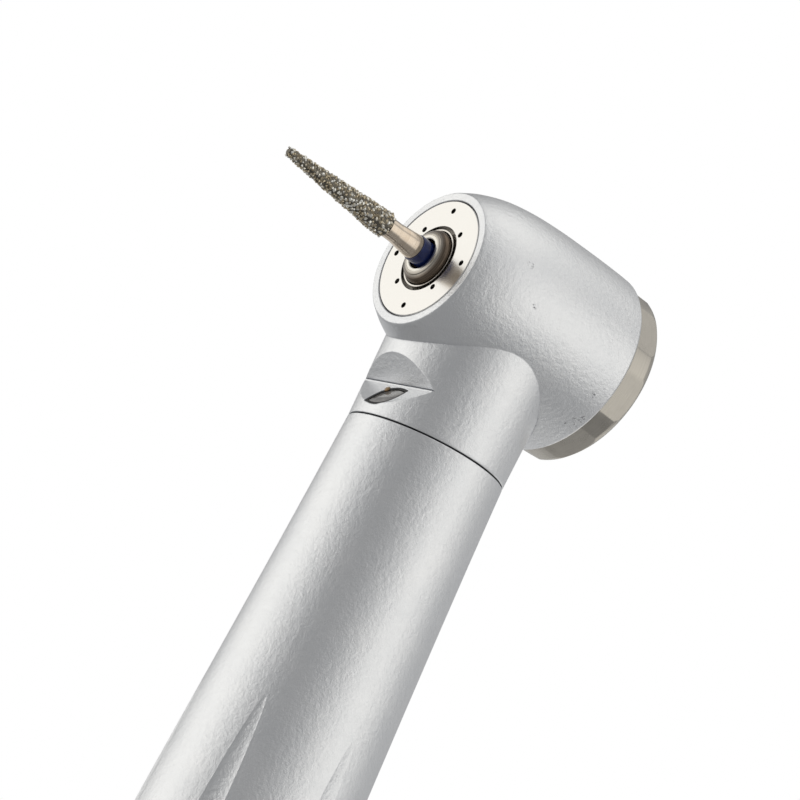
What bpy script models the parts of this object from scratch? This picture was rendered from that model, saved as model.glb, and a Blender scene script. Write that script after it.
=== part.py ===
"""High-speed air-turbine dental handpiece with an LED light, as separate sub-parts.

Lengths in this file are millimetres and are multiplied by MM where geometry is made. The origin
is the centre of the rear connection face. The rear of the handle runs along +X, and +Z is the
push-button side. Stations along the bent handle axis are called s and count from that face.
Turned parts are profiles of (radius, height) points about the local Z of one of three frames:
body_axis (Z forward), neck_axis (Z forward, from the seam) and head_axis (Z from face to cap).
"""

import math

import bmesh
import bpy
from mathutils import Matrix, Vector

MM = 0.001

# Handle axis
BEND_START = 58.0
BEND_END = 92.0
NECK_PITCH = math.radians(18.0)
BEND_RADIUS = (BEND_END - BEND_START) / NECK_PITCH
BEND_STATIONS = [BEND_START + (BEND_END - BEND_START) * k / 5 for k in range(6)]
SEAM = 118.0
HEAD_STATION = 128.0
NECK_ABOVE_FACE = 6.2
HEAD_PITCH = math.radians(20.0)

# Handle sleeve
SLEEVE_REAR = 9.0
SLEEVE_SIDES = 36
BELLY_STATION = 48.0
REAR_RADIUS = 6.75
BELLY_RADIUS = 7.9
SEAM_RADIUS = 5.25
SLEEVE_WALL = 1.4
FRONT_BORE = 4.4
REAR_BORE = 5.75
FLUTES = 6
FLUTE_REAR = 45.0
FLUTE_FRONT = 99.3
FLUTE_HALF_WIDTH = 1.17
FLUTE_DEPTH = 0.4
FLUTE_TURN = math.radians(4.0)

# Head
HEAD_SIDES = 40
BORE_SIDES = 32
INNER_SIDES = 16
SEAL_SIDES = 24
PLATE_RADIUS = 4.05
OUTER_HOLES = 3.34
INNER_HOLES = 2.6
CHAMBER_RADIUS = 4.9
HEAD_PROFILE = [
    (0.0, 12.75), (6.24, 12.75), (6.33, 12.6), (6.35, 11.4), (6.32, 9.0), (6.24, 6.6),
    (6.05, 4.4), (5.72, 2.6), (5.2, 1.1), (4.62, 0.0), (0.0, 0.0),
]
CAP_RADIUS = 6.1
CAP_FLATS = 8
FLAT_HALF_ANGLE = math.radians(15.0)
FIRST_FLAT = math.radians(12.0)

# Ball bearings, 3.175 x 6.35 x 2.38
BEARING_BORE = 1.61
BEARING_OUTER = 3.175
BEARING_WIDTH = 2.38
FRONT_BEARING = 1.5
REAR_BEARING = 8.5
BALL_RADIUS = 0.5
BALL_PITCH = 2.38
BALLS = 7
SEAT_RADIUS = 3.25
O_RING_GROOVE = 3.95

# Rotor, chuck and bur
SPINDLE_RADIUS = 1.5875
NOSE_RADIUS = 1.85
CHUCK_BORE = 1.25
IMPELLER_RADIUS = 4.6
IMPELLER_HUB = 2.4
IMPELLER_SPAN = (4.3, 8.1)
BLADES = 10
SHANK_RADIUS = 0.8
BUR_REAR = 8.0
DIAMOND_BASE = -3.9
BUR_TIP = -12.7

# Light port on the bur side of the neck
NOTCH_STATION = 120.6
NOTCH_DEPTH = 1.35
FACET_SLOPE = math.radians(35.0)
RAMP_SLOPE = math.radians(42.0)
LENS_OVAL = (0.78, 1.4)

# Rear end
DRIVE_HEIGHT = 2.3
EXHAUST_HEIGHT = -2.3
SIDE_HOLE = 2.7
GENERATOR_REAR = 20.0
GENERATOR_FRONT = 37.0
GENERATOR_RADIUS = 3.8

FINISHES = {
    "satin_metal": ((0.62, 0.63, 0.64, 1.0), 0.36, 1.0),
    "face_metal": ((0.83, 0.82, 0.78, 1.0), 0.16, 1.0),
    "cap_metal": ((0.45, 0.42, 0.38, 1.0), 0.28, 1.0),
    "bright_steel": ((0.60, 0.57, 0.53, 1.0), 0.2, 1.0),
    "rotor_steel": ((0.42, 0.38, 0.34, 1.0), 0.24, 1.0),
    "spring_steel": ((0.50, 0.49, 0.47, 1.0), 0.3, 1.0),
    "brass": ((0.72, 0.55, 0.28, 1.0), 0.3, 1.0),
    "copper": ((0.72, 0.36, 0.20, 1.0), 0.35, 1.0),
    "magnet": ((0.20, 0.20, 0.22, 1.0), 0.35, 1.0),
    "diamond_grit": ((0.25, 0.23, 0.18, 1.0), 0.55, 0.0),
    "blue_band": ((0.01, 0.02, 0.12, 1.0), 0.4, 0.0),
    "cage_resin": ((0.35, 0.22, 0.10, 1.0), 0.5, 0.0),
    "black_rubber": ((0.02, 0.02, 0.02, 1.0), 0.6, 0.0),
    "dark_glass": ((0.05, 0.05, 0.06, 1.0), 0.08, 0.0),
    "led_phosphor": ((0.85, 0.75, 0.20, 1.0), 0.4, 0.0),
    "circuit_board": ((0.03, 0.18, 0.08, 1.0), 0.5, 0.0),
    "wire_jacket": ((0.55, 0.06, 0.05, 1.0), 0.5, 0.0),
    "clear_tube": ((0.75, 0.78, 0.80, 1.0), 0.3, 0.0),
}


# ---------------------------------------------------------------- scene and helpers


def clear_scene():
    for item in list(bpy.data.objects):
        bpy.data.objects.remove(item)


def new_collection(name):
    group = bpy.data.collections.new(name)
    bpy.context.scene.collection.children.link(group)
    return group


def make_finish(name):
    colour, roughness, metallic = FINISHES[name]
    made = bpy.data.materials.new(name)
    made.use_nodes = True
    shader = made.node_tree.nodes["Principled BSDF"]
    shader.inputs["Base Color"].default_value = colour
    shader.inputs["Roughness"].default_value = roughness
    shader.inputs["Metallic"].default_value = metallic
    made.diffuse_color = colour
    return made


def place(name, data, frame, finish):
    """A new object in the given frame. A finish of None makes it a cutter."""
    made = bpy.data.objects.new(name, data)
    made.parent = frame
    if finish is None:
        CUTTERS.objects.link(made)
        made.hide_render = True
        made.display_type = "WIRE"
    else:
        PARTS.objects.link(made)
        data.materials.append(MATERIALS[finish])
    return made


def frame_empty(name, location, pitch, parent=None):
    """An empty turned by pitch about Y, which carries the pieces of one axis."""
    made = bpy.data.objects.new(name, None)
    made.location = location
    made.rotation_euler = (0.0, pitch, 0.0)
    made.parent = parent
    PARTS.objects.link(made)
    return made


def turned(name, profile, frame, finish=None, sides=INNER_SIDES):
    """A profile of (radius, height) points turned about local Z, down its outer side.

    A profile that starts and ends on the axis makes a solid, and any other closes into a ring.
    """
    mesh = bpy.data.meshes.new(name)
    count = len(profile)
    edges = [(k, k + 1) for k in range(count - 1)]
    if profile[0][0] > 0.0:
        edges.append((count - 1, 0))
    mesh.from_pydata([(r * MM, 0.0, z * MM) for r, z in profile], edges, [])
    made = place(name, mesh, frame, finish)
    screw = made.modifiers.new("Screw", "SCREW")
    screw.steps = sides
    screw.render_steps = sides
    screw.use_merge_vertices = True
    screw.merge_threshold = 1e-6
    screw.use_smooth_shade = False
    return made


def ring_profile(inner, outer, low, high):
    return [(inner, high), (outer, high), (outer, low), (inner, low)]


def rod_profile(radius, low, high):
    return [(0.0, high), (radius, high), (radius, low), (0.0, low)]


def o_ring_profile(inner, outer, low, high):
    """A rubber ring's section: flat where it seals inside and outside, chamfered between."""
    middle = (low + high) / 2
    quarter = (high - low) / 4
    width = (outer - inner) / 4
    return [
        (inner, middle + quarter), (inner + width, high), (outer - width, high),
        (outer, middle + quarter), (outer, middle - quarter), (outer - width, low),
        (inner + width, low), (inner, middle - quarter),
    ]


def cut(target, cutter, operation="DIFFERENCE"):
    boolean = target.modifiers.new(f"{operation.title()} {cutter.name}", "BOOLEAN")
    boolean.operation = operation
    boolean.object = cutter


def drilled(name, holes, frame, sides=8):
    """One cutter of straight round holes, each given by the two ends of its axis and a radius."""
    mesh = bpy.data.meshes.new(name)
    shape = bmesh.new()
    for start, end, radius in holes:
        start, end = Vector(start), Vector(end)
        along = end - start
        turn = along.to_track_quat("Z", "Y").to_matrix().to_4x4()
        bmesh.ops.create_cone(
            shape,
            cap_ends=True,
            segments=sides,
            radius1=radius * MM,
            radius2=radius * MM,
            depth=along.length * MM,
            matrix=Matrix.Translation((start + end) * 0.5 * MM) @ turn,
        )
    shape.to_mesh(mesh)
    shape.free()
    return place(name, mesh, frame, None)


def boxes(name, sizes_and_places, frame, finish=None):
    """One mesh of separate boxes, each given by its size and its 4x4 place."""
    mesh = bpy.data.meshes.new(name)
    shape = bmesh.new()
    for size, matrix in sizes_and_places:
        scale = Matrix.Diagonal((*[side * MM for side in size], 1.0))
        bmesh.ops.create_cube(shape, size=1.0, matrix=matrix @ scale)
    shape.to_mesh(mesh)
    shape.free()
    return place(name, mesh, frame, finish)


def oval_rod(name, oval, low, high, frame, finish=None):
    """A rod of oval section, half sizes along X and Y, between two heights."""
    mesh = bpy.data.meshes.new(name)
    shape = bmesh.new()
    scale = Matrix.Diagonal((oval[0], oval[1], 1.0, 1.0))
    bmesh.ops.create_cone(
        shape,
        cap_ends=True,
        segments=INNER_SIDES,
        radius1=MM,
        radius2=MM,
        depth=(high - low) * MM,
        matrix=Matrix.Translation((0.0, 0.0, (low + high) * 0.5 * MM)) @ scale,
    )
    shape.to_mesh(mesh)
    shape.free()
    return place(name, mesh, frame, finish)


def wire(name, points, radius, frame, finish, resolution=1, wall=None):
    """A poly curve with a round bevel. A wall makes it an open tube, and no wall a capped rod."""
    curve = bpy.data.curves.new(name, "CURVE")
    curve.dimensions = "3D"
    curve.bevel_depth = radius * MM
    curve.bevel_resolution = resolution
    curve.use_fill_caps = wall is None
    spline = curve.splines.new("POLY")
    spline.points.add(len(points) - 1)
    for slot, point in zip(spline.points, points):
        slot.co = (*(Vector(point) * MM), 1.0)
    made = place(name, curve, frame, finish)
    if wall is not None:
        solid = made.modifiers.new("Wall", "SOLIDIFY")
        solid.thickness = wall * MM
        solid.offset = -1.0
    return made


def coil_points(radius, low, high, turns, per_turn=8):
    count = turns * per_turn
    return [
        (
            radius * math.cos(2 * math.pi * k / per_turn),
            radius * math.sin(2 * math.pi * k / per_turn),
            low + (high - low) * k / count,
        )
        for k in range(count + 1)
    ]


# ---------------------------------------------------------------- handle axis


def on_body(s, y=0.0, z=0.0):
    """The point at station s of the handle axis, offset sideways and towards the button side."""
    turn = min(max((s - BEND_START) / BEND_RADIUS, 0.0), NECK_PITCH)
    straight = s if s < BEND_START else max(s - BEND_END, 0.0)
    start = 0.0 if s < BEND_START else BEND_START
    x = start + BEND_RADIUS * math.sin(turn) + straight * math.cos(turn)
    up = BEND_RADIUS * (1.0 - math.cos(turn)) + straight * math.sin(turn)
    return Vector((x - z * math.sin(turn), y, up + z * math.cos(turn)))


def handle_radius(s):
    """A belly at BELLY_STATION that eases down to the seam and, less, to the rear."""
    if s < BELLY_STATION:
        back = (BELLY_STATION - s) / (BELLY_STATION - SLEEVE_REAR)
        return BELLY_RADIUS - (BELLY_RADIUS - REAR_RADIUS) * back**2
    t = (SEAM - s) / (SEAM - BELLY_STATION)
    share = 0.9 * (t**3 - 2 * t**2 + t) + 3 * t**2 - 2 * t**3
    return SEAM_RADIUS + (BELLY_RADIUS - SEAM_RADIUS) * share


def flute_depth(s, angle):
    """Depth of the flutes, round grooves that run out at both ends, at an angle from the first."""
    if not FLUTE_REAR < s < FLUTE_FRONT:
        return 0.0
    swell = math.sin(math.pi * (FLUTE_FRONT - s) / (FLUTE_FRONT - FLUTE_REAR))
    pitch = 2 * math.pi / FLUTES
    off = abs((angle % pitch) - pitch / 2) * handle_radius(s)
    across = off / (FLUTE_HALF_WIDTH * math.sqrt(swell))
    return FLUTE_DEPTH * swell * max(1.0 - across**2, 0.0)


def sleeve_bore(s):
    """The sleeve's bore: a wall of even thickness, with a plain seat at each end."""
    if s > 107.0:
        return FRONT_BORE
    if s < 15.0:
        return REAR_BORE
    return handle_radius(s) - SLEEVE_WALL


def body_route(keys):
    """Points of a tube in the handle from (station, y, z) keys, bent with the handle axis."""
    stations = sorted({key[0] for key in keys} | set(BEND_STATIONS))
    points = []
    for s in stations:
        if not keys[0][0] <= s <= keys[-1][0]:
            continue
        last = max(k for k in range(len(keys) - 1) if keys[k][0] <= s or k == 0)
        (s0, y0, z0), (s1, y1, z1) = keys[last], keys[last + 1]
        share = (s - s0) / (s1 - s0)
        points.append(on_body(s, y0 + (y1 - y0) * share, z0 + (z1 - z0) * share))
    return points


# ---------------------------------------------------------------- handle


def make_handle_sleeve():
    """A tube whose fluted outside and plain bore are lofted along the bent axis."""
    outside = [SLEEVE_REAR, 12.0, 20.0, 32.0, FLUTE_REAR, 49.0, 54.0, *BEND_STATIONS[:-1]]
    outside += [90.0, 95.0, FLUTE_FRONT, 109.0, SEAM - 0.05]
    inside = [SEAM - 0.05, 108.0, *reversed(BEND_STATIONS), 40.0, 16.0, 14.0, SLEEVE_REAR]
    mesh = bpy.data.meshes.new("handle_sleeve")
    shape = bmesh.new()
    loops = []
    for s in outside + inside:
        is_outside = len(loops) < len(outside)
        loop = []
        for k in range(SLEEVE_SIDES):
            angle = 2 * math.pi * k / SLEEVE_SIDES
            r = handle_radius(s) - flute_depth(s, angle) if is_outside else sleeve_bore(s)
            turned_by = angle + FLUTE_TURN
            point = on_body(s, r * math.sin(turned_by), -r * math.cos(turned_by))
            loop.append(shape.verts.new(point * MM))
        loops.append(loop)
    for near, far in zip(loops, loops[1:] + loops[:1]):
        for k in range(SLEEVE_SIDES):
            n = (k + 1) % SLEEVE_SIDES
            shape.faces.new((near[k], near[n], far[n], far[k]))
    bmesh.ops.recalc_face_normals(shape, faces=shape.faces)
    shape.to_mesh(mesh)
    shape.free()
    place("handle_sleeve", mesh, None, "satin_metal")


def make_tubes():
    neck_end = 120.2
    wire(
        "drive_air_tube",
        body_route([(37.3, 0.0, 2.2), (56.0, 0.0, 1.6), (neck_end, 0.0, 1.6)]),
        1.2, None, "bright_steel", resolution=2, wall=0.25,
    )
    for name, side in (("water_tube", -1.0), ("chip_air_tube", 1.0)):
        keys = [(13.3, 2.7, 0.0), (15.5, 3.2, 0.0), (19.4, 4.7, 0.0), (38.0, 4.7, 0.0)]
        keys += [(45.0, 3.5, 0.0), (54.0, 2.3, -0.3), (neck_end, 2.3, -0.3)]
        route = body_route([(s, side * y, z) for s, y, z in keys])
        wire(name, route, 0.6, None, "clear_tube", resolution=1, wall=0.18)
    for name, side in (("led_wire_left", -1.0), ("led_wire_right", 1.0)):
        keys = [(37.3, 0.7, -2.4), (110.0, 0.6, -2.6), (116.9, 0.6, -2.3)]
        route = body_route([(s, side * y, z) for s, y, z in keys])
        wire(name, route, 0.2, None, "wire_jacket")


# ---------------------------------------------------------------- rear end


def make_rear_connector(axis):
    profile = [
        (0.0, 13.0), (5.45, 13.0), (5.65, 12.8), (5.65, 12.0), (5.15, 12.0), (5.15, 11.0),
        (5.65, 11.0), (5.65, 6.4), (5.2, 6.0), (5.2, 5.4), (5.6, 5.0), (5.6, 0.6),
        (5.0, 0.0), (0.0, 0.0),
    ]
    connector = turned("rear_connector", profile, axis, "bright_steel", HEAD_SIDES)
    centres = (
        (-EXHAUST_HEIGHT, 0.0, 1.5),
        (-DRIVE_HEIGHT, 0.0, 1.2),
        (0.0, -SIDE_HOLE, 0.8),
        (0.0, SIDE_HOLE, 0.8),
    )
    holes = [((x, y, -1.0), (x, y, 14.0), radius) for x, y, radius in centres]
    cut(connector, drilled("hose_holes", holes, axis, 12))
    turned("connector_o_ring", o_ring_profile(5.22, 5.7, 11.1, 11.9), axis, "black_rubber", SEAL_SIDES)
    collar = [(5.7, 8.95), (6.75, 8.95), (6.8, 8.7), (6.8, 7.1), (6.55, 6.7), (5.7, 6.7)]
    turned("rear_collar", collar, axis, "bright_steel", HEAD_SIDES)


def make_generator(axis):
    """A small air-driven generator in the drive air path, which powers the LED."""
    rear, front = GENERATOR_REAR, GENERATOR_FRONT
    profile = [
        (0.85, rear), (0.85, rear + 1.0), (3.4, rear + 1.0), (3.4, front),
        (GENERATOR_RADIUS, front), (GENERATOR_RADIUS, rear),
    ]
    housing = turned("generator_housing", profile, axis, "brass")
    inlet = ((-DRIVE_HEIGHT, 0.0, rear - 1.0), (-DRIVE_HEIGHT, 0.0, rear + 1.5), 0.9)
    cut(housing, drilled("generator_inlet", [inlet], axis))
    cap = turned("generator_end_cap", ring_profile(0.85, 3.35, front - 1.0, front), axis, "brass")
    outlet = ((-2.2, 0.0, front - 1.5), (-2.2, 0.0, front + 0.5), 0.9)
    cut(cap, drilled("generator_outlet", [outlet], axis))
    stator = ring_profile(1.95, 3.35, rear + 4.5, rear + 13.5)
    turned("generator_stator", stator, axis, "copper")
    rotor_profile = [
        (0.0, front - 0.1), (0.4, front - 0.1), (0.4, rear + 13.4), (1.65, rear + 13.4),
        (1.65, rear + 4.6), (0.4, rear + 4.6), (0.4, rear + 3.6), (2.9, rear + 3.6),
        (2.9, rear + 1.8), (0.4, rear + 1.8), (0.4, rear + 0.1), (0.0, rear + 0.1),
    ]
    turned("generator_rotor", rotor_profile, axis, "magnet")
    rear_bush = ring_profile(0.45, 0.82, rear + 0.1, rear + 1.4)
    front_bush = ring_profile(0.45, 0.82, front - 1.4, front - 0.1)
    turned("generator_rear_bush", rear_bush, axis, "brass")
    turned("generator_front_bush", front_bush, axis, "brass")
    pipe_ends = ring_profile(0.85, 1.15, 13.2, rear - 0.2)
    pipe = turned("drive_inlet_pipe", pipe_ends, axis, "bright_steel", 12)
    pipe.location = (-DRIVE_HEIGHT * MM, 0.0, 0.0)


# ---------------------------------------------------------------- head and neck


def make_head_shell(head, neck, facet):
    """The head with its neck and spigot in one piece, bored for the cartridge and the tubes."""
    shell = turned("head_shell", HEAD_PROFILE, head, "satin_metal", HEAD_SIDES)
    neck_profile = [
        (0.0, 7.5), (5.4, 7.5), (SEAM_RADIUS, 0.0), (4.3, 0.0), (4.3, -3.1), (3.8, -3.1),
        (3.8, -4.0), (4.3, -4.0), (4.3, -6.2), (4.1, -6.5), (0.0, -6.5),
    ]
    cut(shell, turned("neck_solid", neck_profile, neck, sides=HEAD_SIDES), "UNION")
    bore_profile = [
        (0.0, 13.5), (CHAMBER_RADIUS, 13.5), (CHAMBER_RADIUS, 3.95), (SEAT_RADIUS, 3.95),
        (SEAT_RADIUS, 3.15), (O_RING_GROOVE, 3.15), (O_RING_GROOVE, 2.25), (SEAT_RADIUS, 2.25),
        (SEAT_RADIUS, 1.42), (2.85, 1.42), (2.85, 1.03), (4.08, 1.03), (4.08, -1.0), (0.0, -1.0),
    ]
    cut(shell, turned("head_bore", bore_profile, head, sides=BORE_SIDES))
    cut(shell, turned("neck_bore", rod_profile(3.4, -7.5, 2.6), neck, sides=BORE_SIDES))
    passages = [
        ((-0.2, 2.7, 2.0), (-0.2, 2.7, 6.5), 0.65),
        ((-0.2, -2.0, 2.0), (-0.2, -2.0, 6.5), 1.2),
        ((1.3, 2.5, 2.0), (5.35, 2.85, 7.3), 0.3),
        ((1.3, -2.5, 2.0), (5.35, -2.85, 7.3), 0.3),
    ]
    cut(shell, drilled("head_passages", passages, neck))
    cut(shell, notch_cutter(neck))
    cut(shell, oval_rod("lens_pocket", (0.95, 1.6), -2.6, 1.5, facet))
    return shell


def notch_cutter(neck):
    """A wedge across the neck: the lens facet behind its bottom line and a ramp before it."""
    bottom = SEAM_RADIUS + 0.03 - NOTCH_DEPTH
    station = NOTCH_STATION - SEAM
    outside = SEAM_RADIUS + 1.2
    rise = outside - bottom
    outline = [
        (bottom, station),
        (outside, station - rise / math.tan(FACET_SLOPE)),
        (outside, station + rise / math.tan(RAMP_SLOPE)),
    ]
    mesh = bpy.data.meshes.new("light_notch")
    shape = bmesh.new()
    near = [shape.verts.new((x * MM, -6.0 * MM, z * MM)) for x, z in outline]
    side = shape.faces.new(near)
    grown = bmesh.ops.extrude_face_region(shape, geom=[side])["geom"]
    moved = [item for item in grown if isinstance(item, bmesh.types.BMVert)]
    bmesh.ops.translate(shape, verts=moved, vec=(0.0, 12.0 * MM, 0.0))
    bmesh.ops.recalc_face_normals(shape, faces=shape.faces)
    shape.to_mesh(mesh)
    shape.free()
    return place("light_notch", mesh, neck, None)


def make_neck_o_ring(neck):
    turned("neck_o_ring", o_ring_profile(3.86, 4.37, -3.96, -3.14), neck, "black_rubber", SEAL_SIDES)


def make_light(facet):
    """The lens rod, its seal and the LED on its board, along the normal of the lens facet."""
    oval_rod("light_lens", LENS_OVAL, -1.75, -0.03, facet, "dark_glass")
    seal = oval_rod("lens_seal", (0.93, 1.57), -1.6, -0.1, facet, "black_rubber")
    cut(seal, oval_rod("seal_bore", (0.81, 1.43), -2.5, 1.0, facet))
    emitter = [((0.8, 1.4, 0.5), Matrix.Translation((0.0, 0.0, -2.2 * MM)))]
    boxes("led_emitter", emitter, facet, "led_phosphor")
    board = [((1.6, 2.2, 0.3), Matrix.Translation((0.0, 0.0, -2.65 * MM)))]
    boxes("led_board", board, facet, "circuit_board")


def make_face(head):
    """The spray plate with its two rings of four holes, and the dust ring round the nose."""
    profile = [
        (2.26, 1.0), (2.4, 1.0), (2.4, 0.5), (3.8, 0.5), (3.8, 1.0),
        (PLATE_RADIUS, 1.0), (PLATE_RADIUS, 0.0), (2.26, 0.0),
    ]
    plate = turned("face_plate", profile, head, "face_metal", HEAD_SIDES)
    holes = []
    for k in range(4):
        for radius, turn in ((OUTER_HOLES, 0.0), (INNER_HOLES, 45.0)):
            angle = math.radians(90.0 * k + turn)
            x, y = radius * math.cos(angle), radius * math.sin(angle)
            holes.append(((x, y, -0.3), (x, y, 0.8), 0.15))
    cut(plate, drilled("spray_holes", holes, head, 6))
    dust = [(1.92, 1.38), (2.8, 1.38), (2.8, 1.08), (2.04, 1.08), (2.04, -0.02), (1.92, -0.02)]
    turned("dust_ring", dust, head, "bright_steel")


def make_bearing(which, low, head):
    """Outer ring, inner ring, and the balls in their cage as one turning piece."""
    high = low + BEARING_WIDTH
    middle = (low + high) / 2
    groove = 0.56
    outer = [
        (2.78, high), (BEARING_OUTER, high), (BEARING_OUTER, low), (2.78, low),
        (2.78, middle - groove), (2.95, middle - 0.4), (2.95, middle + 0.4),
        (2.78, middle + groove),
    ]
    turned(f"{which}_bearing_outer_ring", outer, head, "bright_steel")
    inner = [
        (BEARING_BORE, high), (2.0, high), (2.0, middle + groove), (1.86, middle + 0.4),
        (1.86, middle - 0.4), (2.0, middle - groove), (2.0, low), (BEARING_BORE, low),
    ]
    turned(f"{which}_bearing_inner_ring", inner, head, "bright_steel")
    cage_profile = ring_profile(2.2, 2.56, middle - 0.85, middle + 0.85)
    cage = turned(f"{which}_bearing_cage", cage_profile, head, "cage_resin")
    mesh = bpy.data.meshes.new(f"{which}_balls")
    shape = bmesh.new()
    for k in range(BALLS):
        angle = 2 * math.pi * (k + 0.5) / BALLS
        centre = Vector((BALL_PITCH * math.cos(angle), BALL_PITCH * math.sin(angle), middle))
        bmesh.ops.create_uvsphere(
            shape,
            u_segments=6,
            v_segments=4,
            radius=BALL_RADIUS * MM,
            matrix=Matrix.Translation(centre * MM),
        )
    shape.to_mesh(mesh)
    shape.free()
    cut(cage, place(f"{which}_balls", mesh, head, None), "UNION")


def make_bearing_o_ring(name, low, head):
    """The rubber ring that carries a bearing's outer ring, 0.9 wide in a groove."""
    turned(name, o_ring_profile(3.2, 3.92, low + 0.05, low + 0.85), head, "black_rubber")


def make_spindle(head):
    """The hollow rotor shaft with its domed nose, bored for the chuck."""
    profile = [
        (CHUCK_BORE, 11.4), (SPINDLE_RADIUS, 11.4), (SPINDLE_RADIUS, 1.42), (NOSE_RADIUS, 1.42),
        (NOSE_RADIUS, -0.1), (1.78, -0.3), (1.56, -0.52), (1.25, -0.62), (1.05, -0.58),
        (1.05, 0.5), (CHUCK_BORE, 0.5),
    ]
    turned("spindle", profile, head, "rotor_steel")


def make_impeller(head):
    """A bladed wheel whose cupped blades lean into the drive air, cut from one outline."""
    low, high = IMPELLER_SPAN
    curve = bpy.data.curves.new("impeller", "CURVE")
    curve.dimensions = "2D"
    curve.fill_mode = "BOTH"
    curve.extrude = (high - low) / 2 * MM
    outline = []
    for k in range(BLADES):
        root = 2 * math.pi * k / BLADES
        sides = ((-1, IMPELLER_HUB, 0.075), (-1, 3.5, 0.05), (-1, IMPELLER_RADIUS, 0.035))
        sides += ((1, IMPELLER_RADIUS, 0.035), (1, 3.5, 0.05), (1, IMPELLER_HUB, 0.075))
        for side, radius, half in sides:
            lean = 0.12 if radius == 3.5 else 0.0
            outline.append((radius, root + side * half + lean))
    hub = [(BEARING_BORE, 2 * math.pi * k / INNER_SIDES) for k in range(INNER_SIDES)]
    for points in (outline, hub):
        spline = curve.splines.new("POLY")
        spline.use_cyclic_u = True
        spline.points.add(len(points) - 1)
        for slot, (radius, angle) in zip(spline.points, points):
            slot.co = (radius * math.cos(angle) * MM, radius * math.sin(angle) * MM, 0.0, 1.0)
    made = place("impeller", curve, head, "brass")
    made.location = (0.0, 0.0, (low + high) / 2 * MM)


def make_chuck(head):
    """The friction-grip collet, the wedge rod that opens it, its spring and its ring."""
    collet_profile = [
        (1.05, 8.3), (1.2, 8.3), (1.2, 0.6), (0.83, 0.6), (0.83, 7.8),
    ]
    collet = turned("collet", collet_profile, head, "rotor_steel")
    slots = []
    for k in range(3):
        turn = Matrix.Rotation(2 * math.pi * (k + 0.5) / 3, 4, "Z")
        slots.append(((1.2, 0.16, 6.0), turn @ Matrix.Translation((1.1 * MM, 0.0, 6.5 * MM))))
    cut(collet, boxes("collet_slots", slots, head))
    drawbar = [
        (0.0, 11.1), (1.18, 11.1), (1.18, 10.6), (0.6, 10.6), (0.6, 9.4), (0.4, 8.95),
        (0.0, 8.95),
    ]
    turned("chuck_drawbar", drawbar, head, "spring_steel")
    ring = ring_profile(0.85, 1.22, 11.15, 11.3)
    turned("chuck_retaining_ring", ring, head, "spring_steel")
    wire("chuck_spring", coil_points(0.95, 8.45, 10.45, 5), 0.1, head, "spring_steel")


def make_bur(head):
    """A friction-grip bur: steel blank, navy grit band and a long tapered diamond coat."""
    shank = [
        (0.0, BUR_REAR), (0.7, BUR_REAR), (SHANK_RADIUS, BUR_REAR - 0.15),
        (SHANK_RADIUS, -1.6), (0.66, -3.0), (0.66, DIAMOND_BASE - 0.03),
        (0.6, DIAMOND_BASE - 0.1), (0.16, BUR_TIP + 0.4), (0.0, BUR_TIP + 0.4),
    ]
    turned("bur_shank", shank, head, "bright_steel")
    coat = [
        (0.69, DIAMOND_BASE), (0.84, DIAMOND_BASE), (0.89, DIAMOND_BASE - 0.2),
        (0.34, BUR_TIP + 0.15), (0.2, BUR_TIP), (0.0, BUR_TIP), (0.0, BUR_TIP + 0.3),
        (0.2, BUR_TIP + 0.3), (0.63, DIAMOND_BASE - 0.15),
    ]
    diamond_coat(coat, head)
    turned("bur_ring", ring_profile(0.82, 0.87, -1.4, -0.1), head, "blue_band")


def diamond_coat(profile, head):
    """A blind turned shell: its profile starts and ends at the open base round the blank."""
    blank = [(0.0, DIAMOND_BASE + 1.0), (0.69, DIAMOND_BASE + 1.0)]
    blank += [profile[0], profile[-1], profile[-2], profile[-3]]
    outside = [(0.0, DIAMOND_BASE), *profile[1:6]]
    coat = turned("bur_diamond", outside, head, "diamond_grit")
    cut(coat, turned("blank_pocket", blank, head))


def make_back_end(head):
    """The rear bearing holder, the screwed back cap with wrench flats, and the push button."""
    holder = [
        (2.6, 11.45), (4.85, 11.45), (4.85, 8.4), (SEAT_RADIUS, 8.4), (SEAT_RADIUS, 9.25),
        (O_RING_GROOVE, 9.25), (O_RING_GROOVE, 10.15), (SEAT_RADIUS, 10.15),
        (SEAT_RADIUS, 11.2), (2.6, 11.2),
    ]
    turned("rear_bearing_holder", holder, head, "cap_metal")
    washer = ring_profile(2.5, 3.15, 10.93, 11.15)
    turned("spring_washer", washer, head, "spring_steel")
    cap_profile = [
        (4.0, 14.95), (5.2, 14.95), (5.75, 14.75), (6.05, 14.45), (CAP_RADIUS, 14.25),
        (CAP_RADIUS, 12.8), (4.85, 12.8), (4.85, 11.5), (4.4, 11.5), (4.4, 13.2), (4.0, 13.2),
    ]
    cap = turned("back_cap", cap_profile, head, "cap_metal", HEAD_SIDES)
    apothem = CAP_RADIUS * math.cos(FLAT_HALF_ANGLE)
    flats = []
    for k in range(CAP_FLATS):
        turn = Matrix.Rotation(FIRST_FLAT + 2 * math.pi * k / CAP_FLATS, 4, "Z")
        shift = Matrix.Translation(((apothem + 0.5) * MM, 0.0, 13.95 * MM))
        flats.append(((1.0, 3.5, 2.7), turn @ shift))
    cut(cap, boxes("wrench_flats", flats, head))
    button = [
        (0.0, 15.35), (2.4, 15.3), (3.5, 15.15), (3.9, 14.85), (3.9, 12.95), (4.3, 12.95),
        (4.3, 12.35), (3.4, 12.35), (3.4, 14.3), (0.7, 14.3), (0.7, 11.35), (0.0, 11.35),
    ]
    turned("push_button", button, head, "cap_metal", HEAD_SIDES)
    wire("button_spring", coil_points(2.9, 11.68, 14.07, 4, 10), 0.17, head, "spring_steel")


# ---------------------------------------------------------------- assembly


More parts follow.
